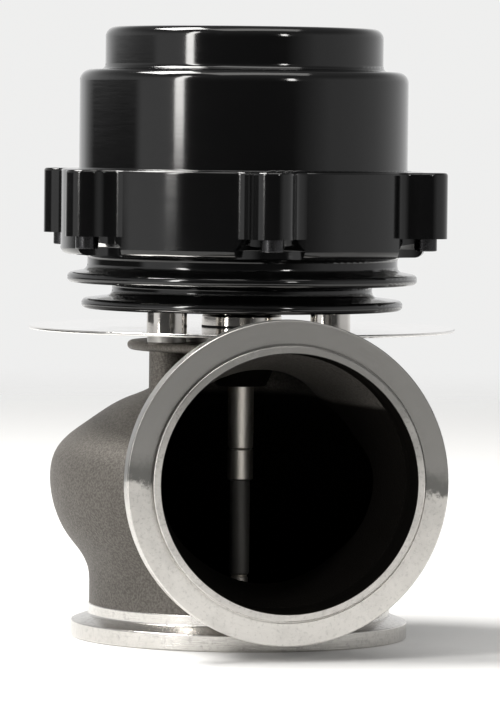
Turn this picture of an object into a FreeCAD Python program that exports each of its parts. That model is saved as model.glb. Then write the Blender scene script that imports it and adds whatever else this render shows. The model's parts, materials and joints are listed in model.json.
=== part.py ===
import FreeCAD, Part
import math
import os

# Turbo wastegate with a 60 mm class poppet valve, in millimetres.
# The valve axis is Z, the inlet face is the plane Z = 0, and the outlet points along -Y.
# Angles round the valve axis are counted from the outlet, towards +X.

# Inlet flange, a V-band rim welded on at the foot of the body
inlet_rim_radius = 41.1
inlet_rim_thickness = 4.0
inlet_collar_radius = 36.9
inlet_collar_top = 8.2
band_slope = math.radians(20)
rim_chamfer = 0.4

# Outlet flange, a V-band rim with a proud male register, welded to the casting's duct
outlet_rim_radius = 38.1
outlet_rim_thickness = 5.4
outlet_reach = 62.95
outlet_height = 41.7
outlet_bore_radius = 30.4
register_radius = 32.2
register_length = 1.6
register_groove = 0.5
duct_root_radius = 33.0
duct_root_rounding = 1.2
weld_run = 2.0
weld_radius = 32.43
duct_waist_radius = 31.3
duct_waist_run = 6.0
duct_waist_rounding = 8.0
duct_inner_end_radius = 27.4
duct_inner_end_run = 28.0
duct_inner_end_rounding = 30.0
duct_axis_radius = 26.4
duct_wall = 2.6
duct_seam_fillet = 5.5
passage_start = 4.0

# Body casting
casting_wall = 3.2
casting_radius = 36.7
neck_radius = 19.6
neck_flare_height = 3.0
neck_flare_width = 1.8
plate_radius = 27.9
plate_thickness = 2.2
plate_rise = 30.6
pad_radius = 16.7
pad_thickness = 2.75
standoff_pad_radius = 4.7
standoff_boss_radius = 4.2
standoff_boss_depth = 14.8

# Outside of the belly, as (radius, height over the outlet's centre), from its foot up to its neck
belly_profile = [
    (casting_radius, -28.2),
    (42.0, -17.2),
    (46.2, -6.7),
    (45.0, 3.8),
    (37.0, 11.0),
    (28.2, 16.4),
    (neck_radius, 23.3),
]
belly_end_pull = 8.0

# Guide boss that hangs into the exhaust chamber
guide_boss_length = 11.0
guide_boss_tip_radius = 6.0
guide_boss_root_radius = 8.6

# Three standoffs, their bolts and the bosses below them, turned a little from the outlet
actuator_turn = -2.0
standoff_angles = {
    "standoff_right": actuator_turn + 60,
    "standoff_left": actuator_turn - 60,
    "standoff_rear": actuator_turn + 180,
}
standoff_pitch_radius = 23.1
standoff_radius = 4.9
standoff_length = 4.0
standoff_bolt_radius = 2.5
standoff_bolt_head_radius = 4.25
standoff_bolt_head_height = 5.0
standoff_bolt_engagement = 10.5
tapped_hole_extra_depth = 1.2

# Heat shield
shield_radius = 52.15
shield_thickness = 0.75
shield_centre_hole_radius = 7.8

# Valve, with its head closed on the seat ring
seat_outer_radius = 34.0
seat_height = 8.0
seat_bore_radius = 28.5
valve_head_radius = 30.0
valve_face_height = 6.0
valve_margin = 1.4
valve_back_rise = 1.0
stem_hub_radius = 2.15
stem_hub_top = 15.1
stem_neck_radius = 2.45
stem_neck_top = 38.5
stem_radius = 3.15
stem_mark_height = 46.0
stem_mark_depth = 0.35
stem_thread_radius = 2.5
stem_thread_length = 13.0
stem_end_chamfer = 0.5

# Stem guide, guide column and stem seal
guide_outer_radius = 5.0
guide_proud_length = 2.95
column_radius = 9.8
column_chamfer_height = 1.5
column_chamfer_width = 0.5
column_gasket_thickness = 0.4
column_spigot_radius = 7.6
column_spigot_length = 3.2
column_stub_radius = 8.6
column_stub_recess = 1.0
seal_pocket_radius = 6.0
seal_pocket_depth = 4.4
seal_height = 2.4
seal_lip_relief = 0.9
snap_ring_thickness = 1.0
snap_ring_bite = 0.4
snap_ring_width = 1.8
snap_ring_gap_angle = 50
o_ring_section_radius = 0.67
o_ring_groove_rise = 3.8
o_ring_groove_width = 2.0

# Actuator housing, with two cooling fins under its flange
lower_fin_radius = 39.2
lower_fin_rise = 1.5
upper_fin_radius = 42.7
fin_spacing = 6.3
fin_thickness = 2.3
fin_under_root = 0.3
fin_under_fillet = 0.8
fin_top_root = 0.9
fin_top_fillet = 1.5
band_foot_fillet = 1.1
foot_radius = 30.8
lower_neck_radius = 31.8
upper_neck_radius = 37.9
band_radius = 44.46
band_height = 12.4
band_rounding = 1.8
bowl_radius = 33.5
bowl_floor_thickness = 12.2
bowl_depth = 13.7

# Six screw lobes, which run through the cap flange and the housing flange
lobe_count = 6
lobe_pitch_radius = 47.4
lobe_radius = 5.2
lobe_blend = 4.6
lobe_height = 7.6
cap_screw_radius = 1.5
cap_screw_head_radius = 2.75
cap_screw_head_height = 3.0
cap_screw_engagement = 6.6
cap_screw_hole_extra_depth = 0.6
spot_face_radius = 7.6
spot_face_flare_centre = 2.0
spot_face_flare_recess = 0.5
spot_face_flare_top_radius = 8.3
spot_face_flare_height = 2.2
spot_face_flare_low_radius = 10.2

# Cap, a dome with two steps
cap_flange_thickness = 8.3
cap_flange_rounding = 0.7
cap_wide_radius = 40.1
cap_wide_height = 24.2
cap_narrow_radius = 33.9
cap_narrow_height = 10.4
cap_wall = 4.0
cap_shoulder_rounding = 2.7
cap_edge_rounding = 2.4
cap_step_fillet = 1.4
spring_boss_height = 2.0
spring_boss_clearance = 0.4
cap_inside_rounding = 1.2
cap_foot_fillet = 0.7

# Diaphragm, piston and retainer
diaphragm_thickness = 1.0
diaphragm_rim_radius = 43.0
diaphragm_wall = 0.75
diaphragm_clearance = 0.3
diaphragm_fold_rounding = 1.5
retainer_radius = 26.0
retainer_lift = 3.0
retainer_rounding = 0.8
retainer_thickness = 2.0
piston_radius = 29.4
piston_skirt_wall = 1.8
piston_floor = 3.0
piston_height = 13.0
piston_rounding = 0.8
piston_lip_rounding = 0.6
washer_radius = 7.0
washer_thickness = 1.0
nut_across_flats = 8.0
nut_height = 5.0
nut_chamfer = 0.5

# Two nested springs between the piston and the cap
outer_wire_radius = 2.0
outer_coil_radius = 24.75
outer_turns = 5.5
inner_wire_radius = 1.5
inner_coil_radius = 17.5
inner_turns = 6.5
closed_turn_spacing = 1.03

# Threaded air ports at the back
port_radius = 4.3
port_spot_radius = 7.4
port_angle = 150
plug_angle = -150
plug_length = 7.5
plug_socket_across_flats = 4.8
plug_socket_depth = 4.0
housing_port_rise = 7.0
cap_port_rise = 12.0
cap_port_boss_length = 3.1
plug_recess = 0.6

# Small edges, the share of a half thickness that a round edge takes, and how far a cut passes a face
edge_break = 0.3
full_round = 0.98
overshoot = 1.0

# Clearances between pieces that fit together
running_gap = 0.05
press_gap = 0.01
free_gap = 0.25
bolt_gap = 0.25
seat_gap = 0.25
spring_seat_gap = 0.3

# Heights and places that follow from the sizes above, from the foot up
outlet_face = -outlet_reach
rim_back = outlet_face + outlet_rim_thickness
duct_root = rim_back + (outlet_rim_radius - duct_root_radius) * math.tan(band_slope)
plate_top = outlet_height + plate_rise
plate_bottom = plate_top - plate_thickness
guide_boss_tip = plate_top - guide_boss_length
pad_top = plate_top + pad_thickness
guide_top = pad_top + guide_proud_length
shield_bottom = pad_top
shield_top = shield_bottom + shield_thickness
column_bottom = shield_top + column_gasket_thickness
housing_bottom = shield_top + standoff_length
lower_fin_height = housing_bottom + lower_fin_rise
upper_fin_height = lower_fin_height + fin_spacing
o_ring_groove_height = housing_bottom + o_ring_groove_rise
bowl_floor = housing_bottom + bowl_floor_thickness
bolt_seat = bowl_floor - standoff_bolt_head_height
column_stub_top = bowl_floor - column_stub_recess
snap_ring_bottom = column_stub_top - seal_pocket_depth + seal_height + 2 * running_gap
split_height = bowl_floor + bowl_depth
band_bottom = split_height - band_height
lobe_bottom = split_height - lobe_height
rim_low = split_height - diaphragm_thickness
retainer_bottom = bowl_floor + retainer_lift
diaphragm_bottom = retainer_bottom + retainer_thickness
piston_bottom = diaphragm_bottom + diaphragm_thickness
piston_top = piston_bottom + piston_height
spring_bottom = piston_bottom + piston_floor
stem_top = retainer_bottom + stem_thread_length
cap_flange_top = split_height + cap_flange_thickness
cap_wide_top = cap_flange_top + cap_wide_height
cap_top = cap_wide_top + cap_narrow_height
cap_ceiling = cap_top - cap_wall
housing_port_height = bowl_floor + housing_port_rise
cap_port_height = cap_flange_top + cap_port_rise
cap_port_boss_reach = cap_wide_radius + cap_port_boss_length

UP = FreeCAD.Vector(0, 0, 1)
ORIGIN = FreeCAD.Vector(0, 0, 0)


def rounded_wire(corners):
    """Closed wire in the XZ plane through corners of (radius, height, rounding)."""
    points = [FreeCAD.Vector(corner[0], 0, corner[1]) for corner in corners]
    roundings = [corner[2] if len(corner) > 2 else 0 for corner in corners]
    edges = []
    joints = []
    for index, point in enumerate(points):
        before = points[index - 1] - point
        after = points[(index + 1) % len(points)] - point
        if roundings[index] == 0:
            joints.append((point, point))
            continue
        half_angle = before.getAngle(after) / 2
        longest = full_round / 2 * min(before.Length, after.Length)
        reach = min(roundings[index] / math.tan(half_angle), longest)
        radius = reach * math.tan(half_angle)
        towards_before = before.normalize()
        towards_after = after.normalize()
        bisector = (towards_before + towards_after).normalize()
        start = point + towards_before * reach
        end = point + towards_after * reach
        middle = point + bisector * (radius / math.sin(half_angle) - radius)
        edges.append(Part.Arc(start, middle, end).toShape())
        joints.append((start, end))
    for index, (_, end) in enumerate(joints):
        next_start = joints[(index + 1) % len(joints)][0]
        if end.distanceToPoint(next_start) > 1e-6:
            edges.append(Part.makeLine(end, next_start))
    return Part.Wire(Part.__sortEdges__(edges))


def turned(corners):
    """Solid of revolution about Z from corners of (radius, height, rounding)."""
    return Part.Face(rounded_wire(corners)).revolve(ORIGIN, UP, 360)


def place(radius, angle, height=0):
    """Point at an angle from the outlet, towards +X, at a radius and height."""
    turn = math.radians(angle)
    return FreeCAD.Vector(radius * math.sin(turn), -radius * math.cos(turn), height)


def rod(radius, low, high, centre=ORIGIN):
    """Upright cylinder between two heights, on the axis or at another centre."""
    base = FreeCAD.Vector(centre.x, centre.y, low)
    return Part.makeCylinder(radius, high - low, base, UP)


def tube(outer, inner, low, high, centre=ORIGIN):
    """Upright tube between two heights."""
    return rod(outer, low, high, centre).cut(rod(inner, low, high, centre))


def hexagon(across_flats, low, high, centre=ORIGIN):
    """Upright hexagonal prism between two heights."""
    corner = across_flats / 2 / math.cos(math.radians(30))
    angles = [60 * side for side in range(7)]
    points = [place(corner, angle, low) + FreeCAD.Vector(centre.x, centre.y, 0) for angle in angles]
    return Part.Face(Part.makePolygon(points)).extrude(UP * (high - low))


def along_outlet(solid):
    """Turn a solid made about Z so that its +Z points out of the outlet, at the outlet's height."""
    solid.rotate(ORIGIN, FreeCAD.Vector(1, 0, 0), 90)
    solid.translate(FreeCAD.Vector(0, 0, outlet_height))
    return solid


def lobed_outline(height):
    """Flange outline with a round lobe at each screw, blended into the band by concave arcs."""
    band_reach = band_radius + lobe_blend
    lobe_reach = lobe_radius + lobe_blend
    cosine = (band_reach**2 + lobe_pitch_radius**2 - lobe_reach**2) / (2 * band_reach * lobe_pitch_radius)
    blend_turn = math.degrees(math.acos(cosine))
    step = 360 / lobe_count
    edges = []
    for index in range(lobe_count):
        middle = index * step + actuator_turn
        centre = place(lobe_pitch_radius, middle, height)
        sides = []
        for sign in (-1, 1):
            angle = middle + sign * blend_turn
            blend_centre = place(band_reach, angle, height)
            on_band = place(band_radius, angle, height)
            towards_lobe = (centre - blend_centre).normalize()
            towards_band = (on_band - blend_centre).normalize()
            on_lobe = blend_centre + towards_lobe * lobe_blend
            between = blend_centre + (towards_lobe + towards_band).normalize() * lobe_blend
            edges.append(Part.Arc(on_band, between, on_lobe).toShape())
            sides.append(on_lobe)
        tip = place(lobe_pitch_radius + lobe_radius, middle, height)
        edges.append(Part.Arc(sides[0], tip, sides[1]).toShape())
        arc_start = place(band_radius, middle + blend_turn, height)
        arc_middle = place(band_radius, middle + step / 2, height)
        arc_end = place(band_radius, middle + step - blend_turn, height)
        edges.append(Part.Arc(arc_start, arc_middle, arc_end).toShape())
    return Part.Wire(Part.__sortEdges__(edges))


def lobed_slab(low, high):
    """Slab with the lobed flange outline."""
    return Part.Face(lobed_outline(low)).extrude(UP * (high - low))


def lobe_angles():
    """Directions of the six lobes from the outlet."""
    return [index * 360 / lobe_count + actuator_turn for index in range(lobe_count)]


def lobe_centres():
    """Places of the six cap screws."""
    return [place(lobe_pitch_radius, angle) for angle in lobe_angles()]


def standoff_centres():
    """Places of the three standoff bolts."""
    return [place(standoff_pitch_radius, angle) for angle in standoff_angles.values()]


def belly(inset):
    """Onion-shaped solid of the casting, moved in by an inset to make its cavity."""
    low = inlet_collar_top - inset / 2
    outline = [FreeCAD.Vector(radius, 0, outlet_height + rise) for radius, rise in belly_profile]
    points = []
    for index, point in enumerate(outline):
        before = outline[max(index - 1, 0)]
        after = outline[min(index + 1, len(outline) - 1)]
        along = (after - before).normalize()
        inward = FreeCAD.Vector(-along.z, 0, along.x)
        points.append(point + inward * inset)
    side = Part.BSplineCurve()
    side.interpolate(points, InitialTangent=UP * belly_end_pull, FinalTangent=UP * belly_end_pull)
    foot = FreeCAD.Vector(points[0].x, 0, low)
    top = FreeCAD.Vector(points[-1].x, 0, plate_bottom - inset)
    axis_top = FreeCAD.Vector(0, 0, top.z)
    axis_foot = FreeCAD.Vector(0, 0, low)
    corners = [points[-1], top, axis_top, axis_foot, foot, points[0]]
    edges = [side.toShape()]
    edges += [Part.makeLine(start, end) for start, end in zip(corners, corners[1:])]
    return Part.Face(Part.Wire(edges)).revolve(ORIGIN, UP, 360)


def make_inlet_flange():
    """V-band rim and collar at the foot of the casting, bored for the seat ring."""
    slope_top = inlet_rim_thickness + (inlet_rim_radius - inlet_collar_radius) * math.tan(band_slope)
    bore = seat_outer_radius + press_gap
    return turned([
        (bore, 0),
        (inlet_rim_radius, 0, rim_chamfer),
        (inlet_rim_radius, inlet_rim_thickness, rim_chamfer),
        (inlet_collar_radius, slope_top, rim_chamfer),
        (inlet_collar_radius, inlet_collar_top, edge_break),
        (bore, inlet_collar_top),
    ])


def make_outlet_flange():
    """V-band rim of the outlet with its register and the short neck that is welded to the duct."""
    rim_front = outlet_reach
    back = -duct_root
    flange = along_outlet(turned([
        (0, rim_front + register_length),
        (register_radius, rim_front + register_length, edge_break),
        (register_radius, rim_front - register_groove),
        (register_radius + register_groove, rim_front - register_groove),
        (register_radius + register_groove, rim_front),
        (outlet_rim_radius, rim_front, rim_chamfer),
        (outlet_rim_radius, rim_front - outlet_rim_thickness, rim_chamfer),
        (duct_root_radius, back, duct_root_rounding),
        (weld_radius, back - weld_run),
        (0, back - weld_run),
    ]))
    return flange.cut(outlet_passage())


def outlet_duct():
    """Outlet pipe of the casting, before it is bored, up to the weld of the outlet flange."""
    back = -duct_root
    return along_outlet(turned([
        (0, back - weld_run),
        (weld_radius, back - weld_run),
        (duct_waist_radius, back - duct_waist_run, duct_waist_rounding),
        (duct_inner_end_radius, back - duct_inner_end_run, duct_inner_end_rounding),
        (duct_axis_radius, 0),
        (0, 0),
    ]))


def outlet_passage():
    """Gas passage of the outlet, from the register into the exhaust chamber."""
    mouth = outlet_reach + register_length + overshoot
    back = -duct_root
    inner_end = duct_inner_end_radius - duct_wall
    return along_outlet(turned([
        (0, mouth),
        (outlet_bore_radius, mouth),
        (outlet_bore_radius, back, duct_waist_run),
        (duct_waist_radius - duct_wall, back - duct_waist_run, duct_waist_rounding),
        (inner_end, back - duct_inner_end_run, duct_inner_end_rounding),
        (inner_end, passage_start),
        (0, passage_start),
    ]))


def make_valve_body():
    """Stainless casting with the outlet duct, the guide boss, the standoff bosses and the machined pad."""
    body = belly(0).fuse(outlet_duct())
    seams = [edge for edge in body.Edges if is_duct_seam(edge)]
    body = body.makeFillet(duct_seam_fillet, seams)
    flare_low = plate_bottom - neck_flare_height
    boss_foot = plate_top - standoff_boss_depth
    round_rim = full_round * plate_thickness / 2
    body = body.fuse(turned([
        (0, flare_low),
        (neck_radius - overshoot, flare_low),
        (neck_radius + neck_flare_width, plate_bottom, neck_flare_height / 2),
        (plate_radius, plate_bottom, round_rim),
        (plate_radius, plate_top, round_rim),
        (pad_radius, plate_top, edge_break),
        (pad_radius, pad_top, edge_break),
        (0, pad_top),
    ]))
    for centre in standoff_centres():
        body = body.fuse(rod(standoff_boss_radius, boss_foot, plate_bottom + overshoot, centre))
    for centre in standoff_centres():
        body = body.fuse(rod(standoff_pad_radius, plate_bottom + overshoot, pad_top, centre))
    body = body.cut(belly(casting_wall)).cut(outlet_passage())
    boss = turned([
        (0, guide_boss_tip),
        (guide_boss_tip_radius, guide_boss_tip, 2 * edge_break),
        (guide_boss_root_radius, plate_bottom - casting_wall),
        (guide_boss_root_radius, plate_bottom),
        (0, plate_bottom),
    ])
    body = body.fuse(boss)
    body = body.cut(rod(guide_outer_radius + press_gap, guide_boss_tip - overshoot, pad_top + overshoot))
    spigot_floor = column_bottom - column_spigot_length - free_gap
    body = body.cut(rod(shield_centre_hole_radius, spigot_floor, pad_top + overshoot))
    hole_floor = shield_bottom - standoff_bolt_engagement - tapped_hole_extra_depth
    for centre in standoff_centres():
        body = body.cut(rod(standoff_bolt_radius + press_gap, hole_floor, pad_top + overshoot, centre))
    return body


def is_duct_seam(edge):
    """True for the edges where the outside of the duct meets the outside of the belly."""
    middle = edge.valueAt((edge.FirstParameter + edge.LastParameter) / 2)
    on_duct = middle.y < -neck_radius / 2 and middle.z < outlet_height + belly_profile[-1][1]
    return on_duct and not is_circle(edge) and edge.Length > neck_radius


def is_circle(edge):
    """True for an edge that is a circle or part of one."""
    return isinstance(edge.Curve, Part.Circle)


def make_valve_seat():
    """Hardened seat ring pressed into the inlet flange, flush with its face."""
    seat_top_radius = seat_bore_radius + (seat_height - valve_face_height)
    return turned([
        (seat_bore_radius, 0),
        (seat_outer_radius, 0, edge_break),
        (seat_outer_radius, seat_height, edge_break),
        (seat_top_radius, seat_height),
        (seat_bore_radius, valve_face_height),
    ])


def make_valve():
    """Poppet valve: head with a 45 degree face, slim neck and a guided stem with a threaded end."""
    face_shift = seat_gap * math.sqrt(2)
    face_low = valve_face_height
    face_run = valve_head_radius - seat_bore_radius + face_shift
    margin_low = face_low + face_run
    margin_top = margin_low + valve_margin
    back_top = margin_top + valve_back_rise
    groove = stem_mark_depth
    head_foot_radius = seat_bore_radius - face_shift
    return turned([
        (0, face_low),
        (head_foot_radius, face_low),
        (valve_head_radius, margin_low),
        (valve_head_radius, margin_top, edge_break),
        (stem_hub_radius, back_top, stem_neck_radius),
        (stem_hub_radius, stem_hub_top - 2 * groove),
        (stem_hub_radius - groove, stem_hub_top - groove),
        (stem_hub_radius, stem_hub_top),
        (stem_neck_radius, stem_hub_top + groove),
        (stem_neck_radius, stem_neck_top - groove),
        (stem_radius, stem_neck_top),
        (stem_radius, stem_mark_height - groove),
        (stem_radius - groove, stem_mark_height),
        (stem_radius, stem_mark_height + groove),
        (stem_radius, retainer_bottom),
        (stem_thread_radius, retainer_bottom),
        (stem_thread_radius, stem_top - stem_end_chamfer),
        (stem_thread_radius - stem_end_chamfer, stem_top),
        (0, stem_top),
    ])


def make_stem_guide():
    """Bronze guide pressed into the boss of the casting and carried up into the column."""
    low = guide_boss_tip + edge_break
    bore = stem_radius + running_gap
    return turned([
        (bore, low),
        (guide_outer_radius, low, edge_break),
        (guide_outer_radius, guide_top, edge_break),
        (bore, guide_top),
    ])


def make_guide_column():
    """Stainless column that centres the shield and housing, and holds the stem seal."""
    groove_low = o_ring_groove_height - o_ring_groove_width / 2
    groove_high = o_ring_groove_height + o_ring_groove_width / 2
    groove_floor = column_stub_radius + running_gap - 2 * (o_ring_section_radius + press_gap)
    pocket_floor = column_stub_top - seal_pocket_depth
    snap_low = snap_ring_bottom - running_gap
    snap_high = snap_ring_bottom + snap_ring_thickness + running_gap
    spigot_low = column_bottom - column_spigot_length
    guide_pocket_radius = guide_outer_radius + running_gap
    guide_pocket_top = guide_top + free_gap
    bore = stem_radius + free_gap
    return turned([
        (guide_pocket_radius, spigot_low),
        (column_spigot_radius, spigot_low, edge_break),
        (column_spigot_radius, column_bottom),
        (column_radius, column_bottom),
        (column_radius, housing_bottom - column_chamfer_height, column_chamfer_width),
        (column_radius - column_chamfer_width, housing_bottom),
        (column_stub_radius, housing_bottom),
        (column_stub_radius, groove_low),
        (groove_floor, groove_low),
        (groove_floor, groove_high),
        (column_stub_radius, groove_high),
        (column_stub_radius, column_stub_top, edge_break),
        (seal_pocket_radius, column_stub_top),
        (seal_pocket_radius, snap_high),
        (seal_pocket_radius + snap_ring_bite, snap_high),
        (seal_pocket_radius + snap_ring_bite, snap_low),
        (seal_pocket_radius, snap_low),
        (seal_pocket_radius, pocket_floor),
        (bore, pocket_floor),
        (bore, guide_pocket_top),
        (guide_pocket_radius, guide_pocket_top),
    ])


def make_column_gasket():
    """Thin heat-insulating washer between the column and the shield."""
    return tube(column_radius, shield_centre_hole_radius, shield_top, column_bottom)


def make_column_o_ring():
    """O-ring in the groove of the column, against the bore of the housing."""
    centre_radius = column_stub_radius + running_gap - o_ring_section_radius - press_gap
    return Part.makeTorus(centre_radius, o_ring_section_radius, UP * o_ring_groove_height, UP)


def make_stem_seal():
    """Lip seal round the stem, at the top of the column."""
    low = column_stub_top - seal_pocket_depth
    top = low + seal_height
    inner = stem_radius + running_gap
    outer = seal_pocket_radius - press_gap
    return turned([
        (inner + seal_lip_relief, low),
        (outer, low, edge_break / 2),
        (outer, top, edge_break / 2),
        (inner + seal_lip_relief / 2, top),
        (inner, top - seal_height / 4),
        (inner + seal_lip_relief / 2, low + seal_height / 2),
    ])


def make_seal_snap_ring():
    """Internal snap ring, open by a gap, that keeps the stem seal in its pocket."""
    low = snap_ring_bottom
    outer = seal_pocket_radius + snap_ring_bite - running_gap
    ring = tube(outer, outer - snap_ring_width, low, low + snap_ring_thickness)
    wedge_reach = seal_pocket_radius * 2
    corners = [
        FreeCAD.Vector(0, 0, low),
        place(wedge_reach, -snap_ring_gap_angle / 2, low),
        place(wedge_reach, snap_ring_gap_angle / 2, low),
        FreeCAD.Vector(0, 0, low),
    ]
    wedge = Part.Face(Part.makePolygon(corners)).extrude(UP * snap_ring_thickness)
    return ring.cut(wedge)


def make_heat_shield():
    """Flat polished disc clamped between the body and the standoffs."""
    shield = turned([
        (shield_centre_hole_radius, shield_bottom),
        (shield_radius, shield_bottom, shield_thickness / 3),
        (shield_radius, shield_top, shield_thickness / 3),
        (shield_centre_hole_radius, shield_top),
    ])
    for centre in standoff_centres():
        shield = shield.cut(rod(standoff_bolt_radius + bolt_gap, shield_bottom, shield_top, centre))
    return shield


def make_standoff(angle):
    """Turned tube that holds the housing off the heat shield."""
    centre = place(standoff_pitch_radius, angle)
    return tube(standoff_radius, standoff_bolt_radius + bolt_gap, shield_top, housing_bottom, centre)


def socket_screw(thread_radius, head_radius, head_height, seat, tip, centre):
    """Socket head screw with its head above its seat, or below it when the tip is higher."""
    sign = 1 if tip < seat else -1
    head_end = seat + sign * head_height
    head = rod(head_radius, min(seat, head_end), max(seat, head_end), centre)
    shank = rod(thread_radius, min(seat, tip), max(seat, tip), centre)
    socket_depth = head_height / 2
    socket_floor = head_end - sign * socket_depth
    socket = hexagon(head_radius, min(socket_floor, head_end), max(socket_floor, head_end), centre)
    outer = [edge for edge in head.Edges if is_circle(edge) and abs(edge.Vertexes[0].Z - head_end) < 1e-6]
    head = head.makeFillet(edge_break, outer)
    return head.fuse(shank).cut(socket).removeSplitter()


def make_standoff_bolts():
    """Three bolts from the floor of the housing, through the standoffs, into the casting."""
    tip = shield_bottom - standoff_bolt_engagement
    screws = [
        socket_screw(
            standoff_bolt_radius,
            standoff_bolt_head_radius,
            standoff_bolt_head_height,
            bolt_seat,
            tip,
            centre,
        )
        for centre in standoff_centres()
    ]
    return Part.makeCompound(screws)


def fin(radius, height, neck):
    """Corners of one thin fin with a full round tip, from its underside up to its top root."""
    half = fin_thickness / 2
    tip = half * full_round
    return [
        (neck, height - half - fin_under_root, fin_under_fillet),
        (radius, height - half, tip),
        (radius, height + half, tip),
        (neck, height + half + fin_top_root, fin_top_fillet),
    ]


def spot_face(angle):
    """Pocket cut up to the underside of one lobe, which flares out towards the bottom of the band."""
    low = band_bottom - overshoot
    flare_top = lobe_bottom - spot_face_flare_recess
    flare_low = flare_top - spot_face_flare_height
    pocket = rod(spot_face_radius, band_bottom, lobe_bottom + 2 * overshoot, place(lobe_pitch_radius, angle))
    flare = turned([
        (0, low),
        (spot_face_flare_low_radius, low),
        (spot_face_flare_low_radius, flare_low, edge_break),
        (spot_face_flare_top_radius, flare_top),
        (0, flare_top),
    ])
    flare.translate(place(lobe_pitch_radius + spot_face_flare_centre, angle))
    return pocket.fuse(flare)


def make_actuator_housing():
    """Lower actuator housing: two fins, the band with six lobes, and the bowl under the diaphragm."""
    lower_fin = fin(lower_fin_radius, lower_fin_height, lower_neck_radius)
    upper_fin = fin(upper_fin_radius, upper_fin_height, lower_neck_radius)
    upper_root = (upper_neck_radius, upper_fin[-1][1], fin_top_fillet)
    outline = [(0, housing_bottom), (foot_radius, housing_bottom, edge_break)]
    outline += lower_fin[1:] + upper_fin[:-1] + [upper_root]
    outline += [
        (upper_neck_radius, band_bottom, band_foot_fillet),
        (band_radius, band_bottom, band_rounding),
        (band_radius, lobe_bottom + overshoot),
        (0, lobe_bottom + overshoot),
    ]
    housing = turned(outline)
    for angle in lobe_angles():
        housing = housing.cut(spot_face(angle))
    housing = housing.fuse(lobed_slab(lobe_bottom, split_height))
    housing = housing.cut(rod(bowl_radius, bowl_floor, split_height + overshoot))
    housing = housing.cut(rod(diaphragm_rim_radius + running_gap, rim_low, split_height + overshoot))
    below = housing_bottom - overshoot
    above = bowl_floor + overshoot
    housing = housing.cut(rod(column_stub_radius + running_gap, below, above))
    for centre in standoff_centres():
        through = rod(standoff_bolt_radius + bolt_gap, below, above, centre)
        head_room = rod(standoff_bolt_head_radius + bolt_gap, bolt_seat, above, centre)
        housing = housing.cut(through).cut(head_room)
    for centre in lobe_centres():
        through = rod(cap_screw_radius + bolt_gap, lobe_bottom - overshoot, split_height + overshoot, centre)
        housing = housing.cut(through)
    for angle in (port_angle, plug_angle):
        inner_reach = bowl_radius - 2 * overshoot
        outer_reach = band_radius + 2 * overshoot
        housing = housing.cut(side_hole(port_radius, angle, housing_port_height, inner_reach, outer_reach))
    return housing.removeSplitter()


def side_hole(radius, angle, height, inner_reach, outer_reach):
    """Cylinder along a radial direction, between two distances from the valve axis."""
    direction = place(1, angle)
    base = direction * inner_reach + UP * height
    return Part.makeCylinder(radius, outer_reach - inner_reach, base, direction)


def make_cap():
    """Domed cap with two steps, which holds the springs and clamps the diaphragm."""
    flange = lobed_slab(split_height, cap_flange_top)
    top_edges = [
        edge for edge in flange.Edges
        if min(vertex.Z for vertex in edge.Vertexes) > cap_flange_top - 1e-6
    ]
    flange = flange.makeFillet(cap_flange_rounding, top_edges)
    dome = turned([
        (0, split_height),
        (cap_wide_radius, split_height),
        (cap_wide_radius, cap_wide_top, cap_shoulder_rounding),
        (cap_narrow_radius, cap_wide_top, cap_step_fillet),
        (cap_narrow_radius, cap_top, cap_edge_rounding),
        (0, cap_top),
    ])
    skirt_radius = cap_wide_radius + cap_foot_fillet
    skirt_top = cap_flange_top + cap_foot_fillet
    skirt = turned([
        (cap_wide_radius - overshoot, cap_flange_top - overshoot),
        (skirt_radius, cap_flange_top - overshoot),
        (skirt_radius, cap_flange_top),
        (cap_wide_radius, cap_flange_top, cap_foot_fillet),
        (cap_wide_radius, skirt_top),
        (cap_wide_radius - overshoot, skirt_top),
    ])
    boss_root = cap_wide_radius - cap_wall / 2
    boss = side_hole(port_spot_radius, port_angle, cap_port_height, boss_root, cap_port_boss_reach)
    cap = dome.fuse(flange).fuse(skirt).fuse(boss)
    inner_wide = cap_wide_radius - cap_wall
    inner_narrow = cap_narrow_radius - cap_wall
    spring_boss_radius = inner_coil_radius - inner_wire_radius - spring_boss_clearance
    hollow = turned([
        (0, split_height - overshoot),
        (inner_wide, split_height - overshoot),
        (inner_wide, cap_wide_top - cap_wall, cap_inside_rounding),
        (inner_narrow, cap_wide_top - cap_wall, cap_inside_rounding),
        (inner_narrow, cap_ceiling, cap_inside_rounding),
        (spring_boss_radius, cap_ceiling),
        (spring_boss_radius, cap_ceiling - spring_boss_height, edge_break),
        (0, cap_ceiling - spring_boss_height),
    ])
    cap = cap.cut(hollow)
    screw_floor = split_height + cap_screw_engagement + cap_screw_hole_extra_depth
    for centre in lobe_centres():
        cap = cap.cut(rod(cap_screw_radius + press_gap, split_height - overshoot, screw_floor, centre))
    port_reach = cap_port_boss_reach + overshoot
    cap = cap.cut(side_hole(port_radius, port_angle, cap_port_height, inner_wide - overshoot, port_reach))
    return cap.removeSplitter()


def make_diaphragm():
    """Rolling diaphragm: flat centre, wall along the piston, hump, and the clamped rim."""
    inner = piston_radius + diaphragm_clearance
    outer = cap_wide_radius - cap_wall - diaphragm_clearance
    wall = diaphragm_wall
    hump = piston_top + (outer - inner) / 2
    round_outside = (outer - inner) / 2 * full_round
    round_inside = ((outer - inner) / 2 - wall) * full_round
    return turned([
        (stem_thread_radius + running_gap, diaphragm_bottom),
        (inner + wall, diaphragm_bottom, diaphragm_fold_rounding),
        (inner + wall, hump - wall, round_inside),
        (outer - wall, hump - wall, round_inside),
        (outer - wall, rim_low),
        (diaphragm_rim_radius, rim_low),
        (diaphragm_rim_radius, split_height),
        (outer, split_height, edge_break),
        (outer, hump, round_outside),
        (inner, hump, round_outside),
        (inner, piston_bottom, diaphragm_fold_rounding / 2),
        (stem_thread_radius + running_gap, piston_bottom),
    ])


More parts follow.
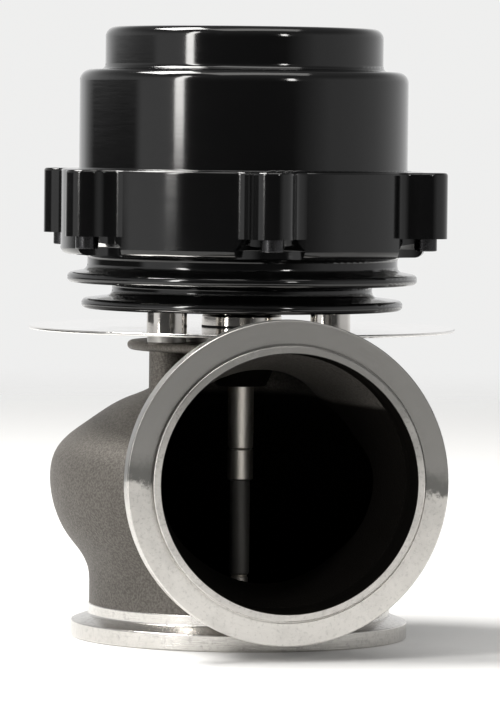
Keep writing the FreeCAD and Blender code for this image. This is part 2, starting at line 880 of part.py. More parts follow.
def make_diaphragm_retainer():
    """Dished washer that backs the diaphragm from below."""
    return turned([
        (stem_thread_radius + running_gap, retainer_bottom),
        (retainer_radius, retainer_bottom, retainer_rounding),
        (retainer_radius, diaphragm_bottom, edge_break),
        (stem_thread_radius + running_gap, diaphragm_bottom),
    ])


def make_piston():
    """Cup that carries the springs and guides the rolling wall of the diaphragm."""
    inner = piston_radius - piston_skirt_wall
    return turned([
        (stem_thread_radius + running_gap, piston_bottom),
        (piston_radius, piston_bottom, piston_rounding),
        (piston_radius, piston_top, piston_lip_rounding),
        (inner, piston_top, piston_lip_rounding),
        (inner, spring_bottom, piston_rounding),
        (stem_thread_radius + running_gap, spring_bottom),
    ])


def make_stem_washer():
    """Washer between the piston and the stem nut."""
    top = spring_bottom + washer_thickness
    return tube(washer_radius, stem_thread_radius + running_gap, spring_bottom, top)


def make_stem_nut():
    """Lock nut that clamps the piston, the diaphragm and its retainer to the stem."""
    low = spring_bottom + washer_thickness
    high = low + nut_height
    nut = hexagon(nut_across_flats, low, high)
    corner = nut_across_flats / 2 / math.cos(math.radians(30))
    envelope = turned([
        (0, low),
        (corner - nut_chamfer, low),
        (corner, low + nut_chamfer),
        (corner, high - nut_chamfer),
        (corner - nut_chamfer, high),
        (0, high),
    ])
    return nut.common(envelope).cut(rod(stem_thread_radius + press_gap, low - overshoot, high + overshoot))


def make_spring(wire_radius, coil_radius, turns):
    """Helical spring with one closed turn at each end, between the piston and the ceiling of the cap."""
    low = spring_bottom + spring_seat_gap
    closed_pitch = 2 * wire_radius * closed_turn_spacing
    open_turns = turns - 2
    open_rise = cap_ceiling - low - 2 * wire_radius - 2 * closed_pitch
    stretches = [(closed_pitch, 1), (open_rise / open_turns, open_turns), (closed_pitch, 1)]
    height = low + wire_radius
    turned_by = 0
    edges = []
    for pitch, count in stretches:
        helix = Part.makeHelix(pitch, pitch * count, coil_radius)
        helix.rotate(ORIGIN, UP, turned_by)
        helix.translate(UP * height)
        edges += helix.Edges
        height += pitch * count
        turned_by += 360 * count
    start = FreeCAD.Vector(coil_radius, 0, low + wire_radius)
    section = Part.Wire([Part.makeCircle(wire_radius, start, FreeCAD.Vector(0, 1, 0))])
    return Part.Wire(edges).makePipeShell([section], True, True)


def make_cap_screws():
    """Six socket screws from below the lobes up into the cap."""
    tip = split_height + cap_screw_engagement
    screws = [
        socket_screw(cap_screw_radius, cap_screw_head_radius, cap_screw_head_height, lobe_bottom, tip, centre)
        for centre in lobe_centres()
    ]
    return Part.makeCompound(screws)


def make_port_plug():
    """Hex socket plug in the spare air port of the housing."""
    outer_end = band_radius - plug_recess
    inner_end = outer_end - plug_length
    plug = side_hole(port_radius - press_gap, plug_angle, housing_port_height, inner_end, outer_end)
    direction = place(1, plug_angle)
    socket = hexagon(plug_socket_across_flats, 0, plug_socket_depth + overshoot)
    turn = FreeCAD.Rotation(UP, direction)
    floor = direction * (outer_end - plug_socket_depth) + UP * housing_port_height
    socket.Placement = FreeCAD.Placement(floor, turn)
    return plug.cut(socket)


parts = {
    "valve_body": make_valve_body(),
    "inlet_flange": make_inlet_flange(),
    "outlet_flange": make_outlet_flange(),
    "valve_seat": make_valve_seat(),
    "valve": make_valve(),
    "stem_guide": make_stem_guide(),
    "guide_column": make_guide_column(),
    "column_gasket": make_column_gasket(),
    "column_o_ring": make_column_o_ring(),
    "stem_seal": make_stem_seal(),
    "seal_snap_ring": make_seal_snap_ring(),
    "heat_shield": make_heat_shield(),
    "standoff_bolts": make_standoff_bolts(),
    "actuator_housing": make_actuator_housing(),
    "diaphragm": make_diaphragm(),
    "diaphragm_retainer": make_diaphragm_retainer(),
    "piston": make_piston(),
    "stem_washer": make_stem_washer(),
    "stem_nut": make_stem_nut(),
    "spring_outer": make_spring(outer_wire_radius, outer_coil_radius, outer_turns),
    "spring_inner": make_spring(inner_wire_radius, inner_coil_radius, inner_turns),
    "cap": make_cap(),
    "cap_screws": make_cap_screws(),
    "port_plug": make_port_plug(),
}
for name, angle in standoff_angles.items():
    parts[name] = make_standoff(angle)

os.makedirs("parts", exist_ok=True)
for node, shape in parts.items():
    shape.exportStep("parts/" + node + ".step")
    box = shape.BoundBox
    print(f"{node:20s} solids {len(shape.Solids)} valid {shape.isValid()} volume {shape.Volume:9.1f}", end=" ")
    print(f"z {box.ZMin:7.2f} {box.ZMax:7.2f} x {box.XMin:7.2f} {box.XMax:7.2f}")
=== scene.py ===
"""Turbo wastegate: a stainless valve body with a black diaphragm actuator, dressed and lit for its picture."""
import json
import math

import bmesh
import bpy
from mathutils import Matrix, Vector

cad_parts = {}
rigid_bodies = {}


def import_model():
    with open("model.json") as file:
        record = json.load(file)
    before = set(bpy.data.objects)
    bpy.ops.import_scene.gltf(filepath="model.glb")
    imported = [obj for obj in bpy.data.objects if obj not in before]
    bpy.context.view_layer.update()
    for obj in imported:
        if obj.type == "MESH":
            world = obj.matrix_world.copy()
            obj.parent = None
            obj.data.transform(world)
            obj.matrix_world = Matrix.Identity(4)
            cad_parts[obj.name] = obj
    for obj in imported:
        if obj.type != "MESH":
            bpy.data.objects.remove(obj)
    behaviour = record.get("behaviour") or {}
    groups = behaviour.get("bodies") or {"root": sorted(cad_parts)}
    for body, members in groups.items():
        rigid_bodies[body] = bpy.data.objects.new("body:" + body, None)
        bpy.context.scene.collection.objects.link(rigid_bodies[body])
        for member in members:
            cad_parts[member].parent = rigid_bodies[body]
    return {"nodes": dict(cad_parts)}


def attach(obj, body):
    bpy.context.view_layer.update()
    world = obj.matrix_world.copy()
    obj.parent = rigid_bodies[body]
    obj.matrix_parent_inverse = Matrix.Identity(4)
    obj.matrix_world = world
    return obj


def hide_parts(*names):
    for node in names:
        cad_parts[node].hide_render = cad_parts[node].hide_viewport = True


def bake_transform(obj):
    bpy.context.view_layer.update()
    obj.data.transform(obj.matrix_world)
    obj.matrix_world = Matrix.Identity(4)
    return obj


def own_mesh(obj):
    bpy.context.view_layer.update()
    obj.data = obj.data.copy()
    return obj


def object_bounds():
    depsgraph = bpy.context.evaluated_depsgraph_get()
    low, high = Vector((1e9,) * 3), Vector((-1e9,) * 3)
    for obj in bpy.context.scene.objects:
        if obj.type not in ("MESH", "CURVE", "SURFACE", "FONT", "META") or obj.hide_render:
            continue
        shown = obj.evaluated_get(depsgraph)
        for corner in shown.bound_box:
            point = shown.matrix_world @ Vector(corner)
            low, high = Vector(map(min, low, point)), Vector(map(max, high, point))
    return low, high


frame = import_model()
cad_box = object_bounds()


# The valve body is one stainless casting: the round belly, the outlet duct, and a neck with a plate on top. It comes
# out of the mould rough and is blasted to a matte grey, and only the plate's top is turned. Inside it is painted near
# black as painted shade.
class Reading:
    """A number read off the surface, so that masks are written as plain sums."""

    def __init__(self, nodes, socket):
        self.nodes = nodes
        self.socket = socket

    def maths(self, operation, *values):
        return self.nodes.node("ShaderNodeMath", {"operation": operation}, dict(enumerate(values)))

    def __add__(self, other):
        return self.maths("ADD", self, other)

    def __radd__(self, other):
        return self.maths("ADD", other, self)

    def __sub__(self, other):
        return self.maths("SUBTRACT", self, other)

    def __rsub__(self, other):
        return self.maths("SUBTRACT", other, self)

    def __mul__(self, other):
        return self.maths("MULTIPLY", self, other)

    def __rmul__(self, other):
        return self.maths("MULTIPLY", other, self)

    def __truediv__(self, other):
        return self.maths("DIVIDE", self, other)

    def __rtruediv__(self, other):
        return self.maths("DIVIDE", other, self)

    def __pow__(self, other):
        return self.maths("POWER", self, other)

    def over(self, level, blur):
        """1 where the reading is above the level, 0 where it is below, with a soft step between."""
        ends = {"Value": self, "From Min": level - blur, "From Max": level + blur}
        return self.nodes.node("ShaderNodeMapRange", {"interpolation_type": "SMOOTHSTEP"}, ends)

    def under(self, level, blur):
        return 1 - self.over(level, blur)


class Nodes:
    """An empty node tree, filled one call for each node."""

    def __init__(self, owner):
        owner.use_nodes = True
        self.tree = owner.node_tree
        self.tree.nodes.clear()

    def node(self, kind, settings, sockets, result=0):
        """Adds a node, sets it, fills or links its sockets and returns one of its results."""
        made = self.tree.nodes.new(kind)
        for name, value in settings.items():
            if name == "stops":
                ramp = made.color_ramp.elements
                for index, (position, colour) in enumerate(value):
                    stop = ramp[index] if index < 2 else ramp.new(position)
                    stop.position = position
                    stop.color = (*colour, 1)
            else:
                setattr(made, name, value)
        for name, value in sockets.items():
            if isinstance(value, Reading):
                value = value.socket
            if isinstance(value, bpy.types.NodeSocket):
                self.tree.links.new(value, made.inputs[name])
            else:
                made.inputs[name].default_value = value
        return Reading(self, made.outputs[result]) if len(made.outputs) else None

    def mix(self, share, first, second):
        """Goes from the first colour to the second as the share goes from 0 to 1."""
        sockets = {0: share, 6: colour_of(first), 7: colour_of(second)}
        return self.node("ShaderNodeMix", {"data_type": "RGBA"}, sockets, 2)


def colour_of(value):
    return value if isinstance(value, Reading) else (*value, 1)


class Finish(Nodes):
    """One procedural material. Its readings are in the part's own frame, in millimetres."""

    def __init__(self, name, **constants):
        self.material = bpy.data.materials.new(name)
        super().__init__(self.material)
        self.shader = self.node("ShaderNodeBsdfPrincipled", {}, constants).socket.node
        self.node("ShaderNodeOutputMaterial", {}, {"Surface": self.shader.outputs["BSDF"]})
        metres = self.node("ShaderNodeTexCoord", {}, {}, "Object")
        self.place = self.node("ShaderNodeVectorMath", {"operation": "SCALE"}, {"Vector": metres, "Scale": 1000})
        self.x = self.part_of(self.place, "X")
        self.y = self.part_of(self.place, "Y")
        self.z = self.part_of(self.place, "Z")

    def part_of(self, vector, letter):
        return self.node("ShaderNodeSeparateXYZ", {}, {"Vector": vector}, letter)

    def distance(self, across, along):
        """Distance from an axis, kept off zero so that it can be divided by."""
        return (across * across + along * along + 0.01) ** 0.5

    def noise(self, size, detail=2.0, roughness=0.5):
        """Cloudy variation from 0 to 1 with lumps of the given size in millimetres."""
        sockets = {"Vector": self.place, "Scale": 1 / size, "Detail": detail, "Roughness": roughness}
        return self.node("ShaderNodeTexNoise", {}, sockets, "Fac")

    def lathe_marks(self, pitch, across, along, radius, depth):
        """Fine rings left by a tool that goes round: they change with radius and with depth, hardly with angle."""
        sweep = 6.0
        turn = {"X": across / radius * sweep, "Y": along / radius * sweep, "Z": depth / pitch}
        vector = self.node("ShaderNodeCombineXYZ", {}, turn)
        sockets = {"Vector": vector, "W": radius / pitch, "Scale": 1.0, "Detail": 2.0}
        return self.node("ShaderNodeTexNoise", {"noise_dimensions": "4D"}, sockets, "Fac")

    def rings(self, pitch):
        """Lathe marks about the part's upright axis."""
        return self.lathe_marks(pitch, self.x, self.y, self.distance(self.x, self.y), self.z)

    def paint(self, **sockets):
        for name, value in sockets.items():
            self.tree.links.new(value.socket, self.shader.inputs[name.replace("_", " ")])

    def bump(self, height, depth):
        """Relief that the light catches: height goes from 0 to 1 over the depth in millimetres."""
        sockets = {"Height": height, "Distance": depth / 1000, "Strength": 1.0}
        self.paint(Normal=self.node("ShaderNodeBump", {}, sockets, "Normal"))


def dress(finish, *nodes):
    """Gives a finish to the meshes of the named nodes of the frame."""
    for name in nodes:
        node = frame["nodes"][name]
        meshes = [piece for piece in [node, *node.children_recursive] if piece.type == "MESH"]
        for piece in meshes:
            piece.data.materials.clear()
            piece.data.materials.append(finish.material)


outlet_centre = 41.7
chamber_top = 59.0
neck_bore = 17.5
pad_bottom = 72.4
duct_share = 0.35
cast_light = (0.20, 0.186, 0.169)
cast_shade = (0.060, 0.054, 0.047)
turned_grey = (0.40, 0.39, 0.375)
bore_shade_black = (0.010, 0.009, 0.008)

casting = Finish("cast_stainless")
sand = casting.noise(0.5, 3.0)
lumps = casting.noise(5.0, 3.0, 0.6)
clouds = casting.noise(19.0, 2.0)
pits = casting.noise(1.7, 4.0, 0.7)
facing = casting.node("ShaderNodeTexCoord", {}, {}, "Normal")
from_middle = casting.node(
    "ShaderNodeCombineXYZ", {}, {"X": casting.x, "Y": casting.y * duct_share, "Z": casting.z - outlet_centre}
)
outward = casting.node("ShaderNodeVectorMath", {"operation": "DOT_PRODUCT"}, {0: facing, 1: from_middle}, "Value")
axis_radius = casting.distance(casting.x, casting.y)
# Painted shade: the inner walls of the chamber and the bore of the neck are painted near black and made fully
# metallic.
chamber_wall = outward.under(0.0, 1.5) * casting.z.under(chamber_top, 1.0)
guide_boss = axis_radius.under(neck_bore, 0.4) * casting.z.under(pad_bottom - 1.0, 0.3)
shaded_hollow = 1 - (1 - chamber_wall) * (1 - guide_boss)
on_plate = casting.z.over(pad_bottom, 0.1)
mottling = lumps * 0.2 + clouds * 0.25 + sand.over(0.5, 0.14) * 0.4 + pits * 0.15
outer_colour = casting.mix(on_plate, casting.mix(mottling, cast_light, cast_shade), turned_grey)
casting.paint(
    Metallic=0.70 + shaded_hollow * 0.30,
    Base_Color=casting.mix(shaded_hollow, outer_colour, bore_shade_black),
    Roughness=(0.50 + sand * 0.16) * (1 - on_plate) + on_plate * 0.3 + shaded_hollow * 0.3,
)
casting.bump((sand * 0.6 + pits * 0.4) * (1 - on_plate), 0.28)
dress(casting, "valve_body")


# The outlet flange is a stainless ring turned for a V-band clamp and welded to the duct. Its face carries a painted
# reflection: bright below, and a dull mottled grey with a ragged dark edge over the upper half and the lip. Its bore
# is painted near black as shade.
outlet_bore = 30.4
register_face = -62.99
face_bright = (0.66, 0.64, 0.61)
face_stain_and_dark_reflection = (0.25, 0.245, 0.235)
face_reflection_edge = (0.10, 0.10, 0.095)

outlet_ring = Finish("turned_outlet_rim", Metallic=1.0)
rise = outlet_ring.z - outlet_centre
ring_radius = outlet_ring.distance(outlet_ring.x, rise)
ring_marks = outlet_ring.lathe_marks(0.35, outlet_ring.x, rise, ring_radius, outlet_ring.y)
ring_lumps = outlet_ring.noise(6.0, 4.0, 0.6)
ring_specks = outlet_ring.noise(0.9, 3.0, 0.7)
on_register = outlet_ring.y.under(register_face, 0.02)
# Painted reflection: above this ragged level the face and lip are painted dull grey, with a dark band along the edge.
reflection_level = rise + outlet_ring.x * 0.045 + (ring_lumps - 0.5) * 8.0 + (ring_specks - 0.5) * 3.0
reflection_fade = reflection_level.over(-16.0, 20.0) * 0.28
register_reflection_shade = 0.3 + reflection_level.over(10.0, 14.0) * 0.7
face_reflection_shade = reflection_level.over(-1.0, 1.2) * 0.88 + reflection_fade
reflected_dark_share = face_reflection_shade * (1 - on_register) + register_reflection_shade * on_register
reflection_edge_band = reflection_level.over(-1.5, 1.0) * reflection_level.under(3.5, 3.0) * (1 - on_register)
# Painted shade: the bore is painted near black.
in_bore = ring_radius.under(outlet_bore + 0.12, 0.08)
specks = ring_specks.over(0.60, 0.10) * 0.28 + (ring_lumps - 0.5) * 0.7
ring_colour = outlet_ring.mix(reflected_dark_share + specks, face_bright, face_stain_and_dark_reflection)
outlet_ring.paint(
    Base_Color=outlet_ring.mix(in_bore, outlet_ring.mix(reflection_edge_band * 0.7, ring_colour, face_reflection_edge), bore_shade_black),
    Roughness=0.27 + ring_marks * 0.10 + ring_specks * 0.10 + in_bore * 0.3,
)
outlet_ring.bump(ring_marks * 0.5 + ring_specks * 0.5, 0.035)
dress(outlet_ring, "outlet_flange")


# The foot flange is the same kind of ring, welded on below. It was turned last and handled least, so it is bright.
foot_ring = Finish("turned_foot_rim", Metallic=1.0)
foot_marks = foot_ring.rings(0.3)
foot_specks = foot_ring.noise(1.1, 3.0, 0.65)
foot_ring.paint(
    Base_Color=foot_ring.mix(foot_specks.over(0.6, 0.1) * 0.3 + foot_ring.noise(9.0) * 0.3, face_bright, face_stain_and_dark_reflection),
    Roughness=0.15 + foot_marks * 0.10 + foot_specks * 0.08,
)
foot_ring.bump(foot_marks, 0.03)
dress(foot_ring, "inlet_flange")


# The seat ring is a hard steel ring pressed into the foot flange. Its upper edge is ground where the valve closes,
# and the gas colours it straw and brown.
seat = Finish("ground_steel", Metallic=1.0)
seat_marks = seat.rings(0.25)
seat.paint(
    Base_Color=seat.mix(seat.noise(5.0), (0.50, 0.46, 0.40), (0.33, 0.28, 0.22)),
    Roughness=0.26 + seat_marks * 0.16,
)
seat.bump(seat_marks, 0.02)
dress(seat, "valve_seat")


# The valve is one forging turned all over: a round head below, a thin stem above. The lower stem and the head are dark
# grey, while the part that runs in the guide is bright. A thin band where the guide ends is painted darker as the
# shade of a groove, and the hub above the head is painted bright as a reflection.
stem_bright_bottom = 38.6
groove_shade_bottom = 45.6
groove_shade_top = 46.2
stem_hub_bottom = 11.0
stem_hub_top = 15.1
steel_bright = (0.80, 0.76, 0.70)
steel_dark = (0.20, 0.195, 0.185)

valve = Finish("valve_steel", Metallic=1.0)
valve_marks = valve.rings(0.4)
on_stem = valve.z.over(stem_bright_bottom, 0.15)
# Painted shade and reflection: a dark band stands in for the groove where the guide ends, and the hub is painted
# bright.
hub_painted_reflection = valve.z.under(stem_hub_top, 0.15) * valve.z.over(stem_hub_bottom, 0.6)
groove_shade_ring = valve.z.over(groove_shade_bottom, 0.1) * valve.z.under(groove_shade_top, 0.1)
bright = on_stem * (1 - groove_shade_ring * 0.6) + hub_painted_reflection * 0.8
valve.paint(
    Base_Color=valve.mix(bright, steel_dark, steel_bright),
    Roughness=0.62 - bright * 0.24 + valve_marks * 0.12,
)
valve.bump(valve_marks, 0.03)
dress(valve, "valve")


# The guide is a bronze bush pressed up through the plate. Its tip stands in the gas and has gone brown.
guide = Finish("guide_bronze", Metallic=1.0)
guide_marks = guide.rings(0.35)
guide.paint(
    Base_Color=guide.mix(guide.noise(4.0, 3.0), (0.34, 0.25, 0.15), (0.20, 0.145, 0.095)),
    Roughness=0.38 + guide_marks * 0.2,
)
guide.bump(guide_marks, 0.03)
dress(guide, "stem_guide")


# The gasket under the column is a thin pressed sheet of graphite between steel skins.
gasket = Finish("gasket", Metallic=0.2)
gasket_grain = gasket.noise(0.4, 3.0)
gasket.paint(
    Base_Color=gasket.mix(gasket_grain, (0.075, 0.072, 0.07), (0.03, 0.03, 0.03)),
    Roughness=0.62 + gasket_grain * 0.2,
)
gasket.bump(gasket_grain, 0.03)
dress(gasket, "column_gasket")


# The column and the three standoffs are stainless bar, turned and polished. They keep the heat of the body away from
# the rubber parts above.
tubes = Finish("polished_stainless", Metallic=1.0)
tube_marks = tubes.rings(0.5)
tube_tint = tubes.noise(11.0)
tubes.paint(
    Base_Color=tubes.mix(tube_tint, (0.74, 0.715, 0.68), (0.62, 0.595, 0.56)),
    Roughness=0.06 + tube_marks * 0.05 + tube_tint * 0.03,
)
tubes.bump(tube_marks, 0.006)
dress(tubes, "guide_column", "standoff_left", "standoff_right", "standoff_rear")


# The heat shield is a thin stainless disc, cut by laser and polished on both sides. It is bolted flat between the
# plate and the standoffs.
shield = Finish("shield_stainless", Metallic=1.0)
brushing = shield.rings(0.45)
shield_haze = shield.noise(14.0, 3.0)
shield.paint(
    Base_Color=shield.mix(shield_haze, (0.86, 0.845, 0.82), (0.76, 0.745, 0.72)),
    Roughness=0.06 + brushing * 0.05 + shield_haze * 0.04,
)
shield.bump(brushing, 0.006)
dress(shield, "heat_shield")


# The housing and the cap are turned from aluminium bar and anodised gloss black. Faint rings of the lathe tool stay
# under the black, and handling has dulled it a little here and there.
black = (0.0020, 0.0020, 0.0021)
black_worn = (0.0045, 0.0045, 0.0047)

anodised = Finish("black_anodised", Metallic=0.0, IOR=1.52)
tool_rings = anodised.rings(0.55)
dust = anodised.noise(1.1, 4.0, 0.65)
handling = anodised.noise(18.0, 3.0)
anodised.paint(
    Base_Color=anodised.mix(handling * 0.6 + dust * 0.4, black, black_worn),
    Roughness=0.055 + tool_rings * 0.06 + handling * 0.03,
)
anodised.bump(tool_rings * 0.7 + dust * 0.3, 0.003)
dress(anodised, "actuator_housing", "cap")


# The cap screws and the standoff bolts are socket head screws, blackened in an oxide bath and oiled.
oxide = Finish("screw_oxide", Metallic=1.0)
oil = oxide.noise(0.9, 3.0)
oxide.paint(
    Base_Color=oxide.mix(oil, (0.06, 0.06, 0.062), (0.025, 0.025, 0.027)),
    Roughness=0.20 + oil * 0.14,
)
oxide.bump(oil, 0.015)
dress(oxide, "cap_screws", "standoff_bolts")


# The nut, the washer and the plug of the spare port are plain steel, plated silver.
plated = Finish("screw_steel", Metallic=1.0)
plating = plated.noise(0.8, 3.0)
plated.paint(
    Base_Color=plated.mix(plating, (0.70, 0.69, 0.67), (0.54, 0.53, 0.51)),
    Roughness=0.20 + plating * 0.16,
)
plated.bump(plating, 0.02)
dress(plated, "stem_nut", "stem_washer", "port_plug")


# The piston and the diaphragm retainer are bare turned aluminium. They clamp the diaphragm between them on the stem.
bare = Finish("bare_aluminium", Metallic=1.0)
bare_marks = bare.rings(0.4)
bare.paint(
    Base_Color=bare.mix(bare.noise(9.0), (0.78, 0.78, 0.77), (0.66, 0.66, 0.655)),
    Roughness=0.28 + bare_marks * 0.18,
)
bare.bump(bare_marks, 0.02)
dress(bare, "piston", "diaphragm_retainer")


# The O-ring and the stem seal are moulded black rubber, matte with a fine flash line.
rubber = Finish("seal_rubber", Metallic=0.0)
rubber_grain = rubber.noise(0.6, 4.0)
rubber.paint(
    Base_Color=rubber.mix(rubber_grain, (0.02, 0.02, 0.021), (0.045, 0.044, 0.043)),
    Roughness=0.55 + rubber_grain * 0.2,
)
rubber.bump(rubber_grain, 0.02)
dress(rubber, "column_o_ring", "stem_seal")


# Two nested springs push the valve shut. Each is wound cold from round wire, with its end turns closed up and ground
# flat. The snap ring that holds the stem seal is the same steel.
spring_top = 0.1446
spring_bottom = 0.1013
springs = (
    ("outer_spring_coil", "spring_outer", 0.02475, 0.0020, 5.5),
    ("inner_spring_coil", "spring_inner", 0.0175, 0.0015, 6.5),
)

wire = Finish("spring_steel", Metallic=1.0)
wire_scale = wire.noise(1.2, 3.0)
wire.paint(
    Base_Color=wire.mix(wire_scale, (0.40, 0.40, 0.41), (0.24, 0.245, 0.26)),
    Roughness=0.30 + wire_scale * 0.18,
)
wire.bump(wire_scale, 0.02)
dress(wire, "seal_snap_ring")


def coil(name, coil_radius, wire_radius, turns):
    """A helix of round wire whose first and last turn lie flat."""
    sides = 14
    steps_per_turn = 48
    flat_turn = 0.75
    low = spring_bottom + wire_radius
    high = spring_top - wire_radius
    count = int(turns * steps_per_turn)
    form = bmesh.new()
    rings = []
    for step in range(count + 1):
        done = step / steps_per_turn
        climb = min(max((done - flat_turn) / (turns - 2 * flat_turn), 0.0), 1.0)
        angle = 2 * math.pi * done
        outward = Vector((math.cos(angle), math.sin(angle), 0.0))
        heart = outward * coil_radius + Vector((0.0, 0.0, low + (high - low) * climb))
        ring = []
        for side in range(sides):
            around = 2 * math.pi * side / sides
            offset = outward * math.cos(around) + Vector((0.0, 0.0, math.sin(around)))
            ring.append(form.verts.new(heart + offset * wire_radius))
        rings.append(ring)
    for first, second in zip(rings, rings[1:]):
        for side in range(sides):
            after = (side + 1) % sides
            form.faces.new((first[side], second[side], second[after], first[after]))
    form.faces.new(rings[0])
    form.faces.new(list(reversed(rings[-1])))
    return solid(name, form)


def solid(name, form):
    """Turns a finished form into a smooth-shaded object of the scene."""
    bmesh.ops.recalc_face_normals(form, faces=form.faces)
    mesh = bpy.data.meshes.new(name)
    form.to_mesh(mesh)
    form.free()
    for face in mesh.polygons:
        face.use_smooth = True
    piece = bpy.data.objects.new(name, mesh)
    bpy.context.scene.collection.objects.link(piece)
    return piece


for name, node, coil_radius, wire_radius, turns in springs:
    spring = coil(name, coil_radius, wire_radius, turns)
    spring.data.materials.append(wire.material)
    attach(spring, "wastegate_body")
    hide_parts(node)
    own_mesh(spring)


# The diaphragm is fabric dipped in black rubber. Its rim is clamped between the housing and the cap, its middle
# between the retainer and the piston, with a rolled fold between them. The fold rolls as the real valve lifts; this
# shell keeps one fixed shape.
diaphragm_thickness = 0.0009
flat_reach = 0.0290
inner_wall = 0.0301
outer_wall = 0.0354
flat_height = 0.0975
fold_start = 0.0986
fold_middle = 0.1110
rim_start = 0.1062
rim_height = 0.1052
rim_reach = 0.0428
fold_radius = (outer_wall - inner_wall) / 2
fold_arc = [
    (inner_wall + fold_radius - fold_radius * math.cos(turn), fold_middle + fold_radius * math.sin(turn))
    for turn in (math.pi * step / 10 for step in range(11))
]
diaphragm_outline = [
    (0.0046, flat_height), (flat_reach, flat_height), (inner_wall - 0.0003, fold_start - 0.0008),
    (inner_wall, fold_start), *fold_arc, (outer_wall, rim_start), (outer_wall + 0.0010, rim_height),
    (rim_reach, rim_height),
]

folded = Finish("diaphragm_rubber", Metallic=0.0)
weave = folded.noise(0.35, 2.0)
folded.paint(
    Base_Color=folded.mix(weave, (0.018, 0.018, 0.019), (0.05, 0.049, 0.048)),
    Roughness=0.6 + weave * 0.2,
)
folded.bump(weave, 0.04)


def turned_shell(name, outline, thickness):
    """A thin skin turned about the upright axis from its outline of radius and height."""
    sides = 128
    form = bmesh.new()
    loops = []
    for radius, height in outline:
        ring = []
        for side in range(sides):
            angle = 2 * math.pi * side / sides
            ring.append(form.verts.new((radius * math.cos(angle), radius * math.sin(angle), height)))
        loops.append(ring)
    for first, second in zip(loops, loops[1:]):
        for side in range(sides):
            after = (side + 1) % sides
            form.faces.new((first[side], first[after], second[after], second[side]))
    piece = solid(name, form)
    bpy.context.view_layer.objects.active = piece
    skin = piece.modifiers.new("skin", "SOLIDIFY")
    skin.thickness = thickness
    skin.offset = 0
    with bpy.context.temp_override(object=piece):
        bpy.ops.object.modifier_apply(modifier="skin")
    return piece


diaphragm = turned_shell("rolled_diaphragm", diaphragm_outline, diaphragm_thickness)
diaphragm.data.materials.append(folded.material)
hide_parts("diaphragm")
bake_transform(diaphragm)


# The part stands on a sheet of plain pale paper that ends a little in front of it and fades into the room behind.
# To the eye and in polished metal the paper is pale. It throws less light back up, as a sheet in a dark room does.
floor_front = 0.68
floor_reach = 1.45
floor_gap = 0.00002
fade_middle = 1.0
fade_blur = 0.4
edge_blur = 0.03
floor_colour = (0.80, 0.80, 0.795)
floor_bounce = (0.22, 0.22, 0.218)
room_colour = (0.86, 0.86, 0.855)

form = bmesh.new()
bmesh.ops.create_circle(form, cap_ends=True, segments=96, radius=floor_reach)
floor = solid("floor", form)
floor.location.z = cad_box[0][2] - floor_gap
paper = Finish("floor_paper", Roughness=0.9)
to_eye = paper.node("ShaderNodeLightPath", {}, {}, "Is Camera Ray")
to_metal = paper.node("ShaderNodeLightPath", {}, {}, "Is Glossy Ray")
fibres = paper.noise(3.0, 2.0)
pale = paper.mix(fibres, floor_colour, tuple(value * 0.985 for value in floor_colour))
paper.paint(Base_Color=paper.mix(to_eye + to_metal, floor_bounce, pale))
reach = paper.distance(paper.x, paper.y)
there = reach.under(1000 * fade_middle, 1000 * fade_blur) * paper.y.over(-1000 * floor_front, 1000 * edge_blur)
clear = paper.node("ShaderNodeBsdfTransparent", {}, {})
faded = paper.node("ShaderNodeMixShader", {}, {0: there, 1: clear, 2: paper.shader.outputs["BSDF"]})
paper.node("ShaderNodeOutputMaterial", {"is_active_output": True}, {"Surface": faded})
floor.data.materials.append(paper.material)


# The room is pale behind the part. Left and right of it stand pale walls, and the side behind the camera is unlit,
# so that black and polished faces show dark and light bands. The walls are lists of bearing and level, and bearings
# are in degrees from the camera to the right.
camera_place = Vector((-0.22675, -1.22977, 0.12484))
walls_below = (
    (-180, 0.92), (-150, 0.92), (-130, 0.05), (-82, 0.05), (-76, 0.85), (-50, 0.85), (-38, 0.05),
    (34, 0.05), (62, 0.55), (105, 0.62), (150, 0.92), (180, 0.92),
)
walls_above = (
    (-180, 0.92), (-150, 0.92), (-112, 0.75), (-92, 0.60), (-70, 0.75), (-52, 0.85), (-38, 0.08),
    (34, 0.05), (62, 0.55), (105, 0.62), (150, 0.92), (180, 0.92),
)
window_sill = 0.0125
sill_blur = 0.003
ceiling_edge = 0.45
ceiling_blur = 0.25
ceiling_light = 0.22
room = bpy.data.worlds.new("room")
bpy.context.scene.world = room
air = Nodes(room)
towards_camera = Vector((camera_place.x, camera_place.y, 0.0)).normalized()
to_the_right = Vector((-towards_camera.y, towards_camera.x, 0.0))
direction = air.node("ShaderNodeTexCoord", {}, {}, "Generated")


def along(axis):
    sockets = {0: direction, 1: tuple(axis)}
    return air.node("ShaderNodeVectorMath", {"operation": "DOT_PRODUCT"}, sockets, "Value")


bearing = air.node("ShaderNodeMath", {"operation": "ARCTAN2"}, {0: along(to_the_right), 1: along(towards_camera)})
height = along(Vector((0.0, 0.0, 1.0)))


def wall_light(walls):
    """Brightness of the walls all round, from their list of bearings and levels."""
    stops = [(0.5 + degrees / 360, (level, level, level)) for degrees, level in walls]
    return air.node("ShaderNodeValToRGB", {"stops": stops}, {"Fac": bearing / (2 * math.pi) + 0.5})


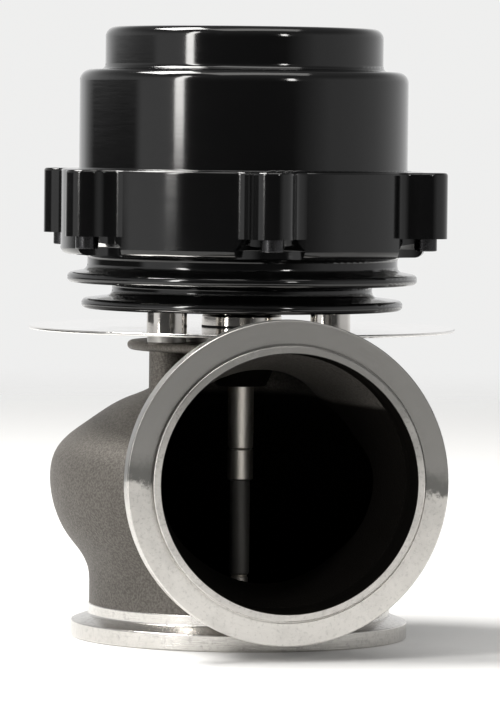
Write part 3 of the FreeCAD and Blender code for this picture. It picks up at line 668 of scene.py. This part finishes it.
wall = air.mix(height.over(window_sill, sill_blur), wall_light(walls_below), wall_light(walls_above))
room_light = air.mix(height.over(ceiling_edge, ceiling_blur), wall, (ceiling_light, ceiling_light, ceiling_light))
seen = air.node("ShaderNodeLightPath", {}, {}, "Is Camera Ray")
backdrop = air.node("ShaderNodeBackground", {}, {"Color": air.mix(seen, room_light, room_colour), "Strength": 1.0})
air.node("ShaderNodeOutputWorld", {}, {"Surface": backdrop})


# A narrow strip lamp stands front left. Two soft boxes hang above, one of them to the left, and a small weak one in
# front on the right puts the short highlights on the black housing.
lamp_tint = (1.0, 0.985, 0.96)


def soft_box(name, bearing, distance, foot, width, height, watts, target):
    """A rectangular lamp that faces the target height over the part's axis, seen from its bearing."""
    data = bpy.data.lights.new(name, "AREA")
    data.shape = "RECTANGLE"
    data.size = width
    data.size_y = height
    data.energy = watts
    data.color = lamp_tint
    lamp = bpy.data.objects.new(name, data)
    turn = math.radians(bearing)
    lamp.location = (towards_camera * math.cos(turn) + to_the_right * math.sin(turn)) * distance
    lamp.location.z = foot + height / 2
    lamp.rotation_euler = (lamp.location - Vector((0.0, 0.0, target))).to_track_quat("Z", "Y").to_euler()
    bpy.context.scene.collection.objects.link(lamp)


soft_box("strip_lamp", -45, 1.35, 0.118, 0.16, 1.1, 11.0, 0.668)
soft_box("key_box", -98, 0.62, 1.0, 0.6, 0.5, 26.0, 0.06)
soft_box("top_box", 20, 0.35, 1.0, 1.1, 0.6, 6.0, 0.08)
soft_box("front_box", 33, 1.3, 0.36, 0.12, 0.3, 2.5, 0.04)


# The camera looks slightly down from a little left of the outlet, from more than a metre, with a long lens.
camera_data = bpy.data.cameras.new("camera")
camera_data.lens = 261.78
camera_data.clip_start = 0.05
camera = bpy.data.objects.new("camera", camera_data)
camera.location = camera_place
camera.rotation_euler = (math.radians(87.470), math.radians(-0.621), math.radians(-10.516))
bpy.context.scene.collection.objects.link(camera)
bpy.context.scene.camera = camera
bpy.context.scene.view_settings.view_transform = "Standard"
